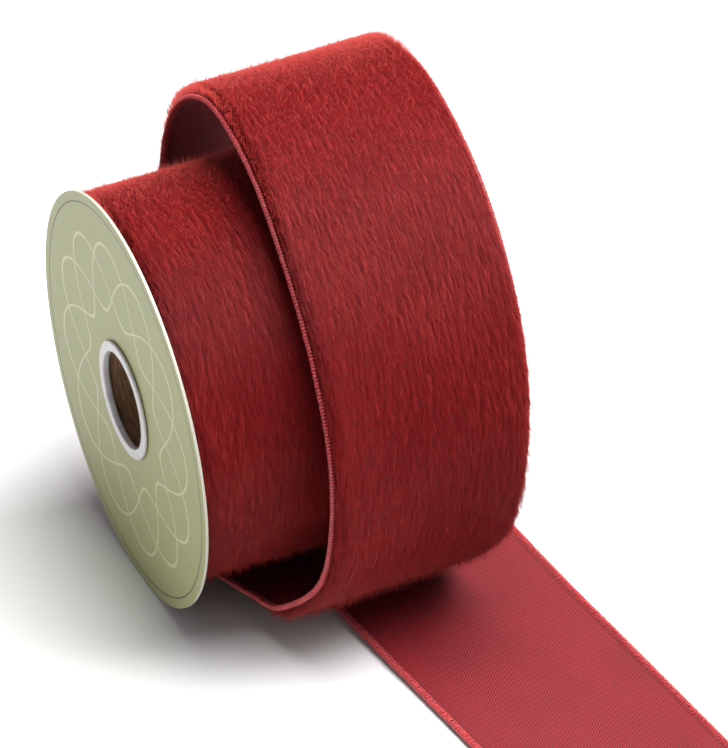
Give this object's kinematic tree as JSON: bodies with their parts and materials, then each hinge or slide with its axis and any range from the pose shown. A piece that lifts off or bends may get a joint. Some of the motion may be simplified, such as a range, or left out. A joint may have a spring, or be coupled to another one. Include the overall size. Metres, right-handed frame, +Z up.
{
  "type": "roll of velvet ribbon",
  "caption": "Card reel of wide plush velvet ribbon with wired edges, its last turn sprung loose in a loop round the reel and its end lying out as a flat tail.",
  "frame": {"origin": "middle of the small flat spot at the bottom of the left flange's rim, on the surface that the reel stands on", "axes": "+Z up; +X along the reel's axis in plan, from the left flange to the right one; the ribbon's tail runs towards -Y"},
  "size_m": [0.1299, 0.2326, 0.1399],
  "materials": {
    "flange_card": "smooth coated card, sage green with a thin dark line near the rim",
    "bushing_plastic": "translucent grey-white moulded plastic, satin",
    "core_card": "bare brown wound card tube",
    "velvet": "dark red plush pile with a satin back and pinkish-red overlocked wired edges"
  },
  "bodies": {
    "root": {"flange_left": "flange_card", "flange_right": "flange_card", "bushing_left": "bushing_plastic", "bushing_right": "bushing_plastic", "core_tube": "core_card", "wound_ribbon": "velvet", "loose_ribbon": "velvet"}
  },
  "joints": []
}
